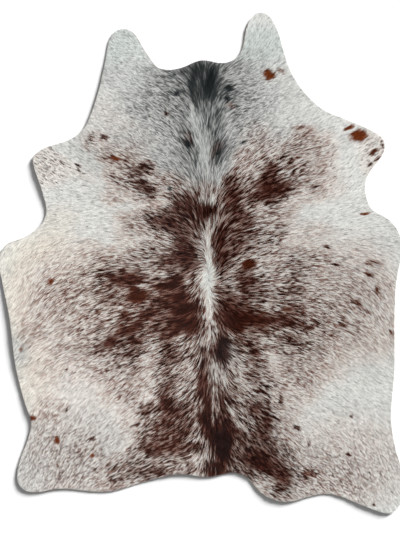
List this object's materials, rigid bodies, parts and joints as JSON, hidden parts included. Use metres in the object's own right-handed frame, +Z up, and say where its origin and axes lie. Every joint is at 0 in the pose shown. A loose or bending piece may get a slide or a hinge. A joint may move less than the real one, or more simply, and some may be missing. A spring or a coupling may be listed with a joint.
{
  "type": "cowhide rug",
  "caption": "Whole hair-on cowhide floor rug lying flat, its white hair ticked with dark brown, cut in the outline of the animal with cheek flaps and shanks.",
  "frame": {"origin": "middle of the box around the rug, on the flat of its underside", "axes": "+Y to the neck end, +X to the right seen from above with the neck up, +Z up through the hair"},
  "size_m": [1.6998, 2.1, 0.0104],
  "materials": {
    "hair": "hair-on hide: short glossy white hair with brown, rust and black ticking, suede underside"
  },
  "bodies": {
    "root": {"hide": "hair"}
  },
  "joints": []
}
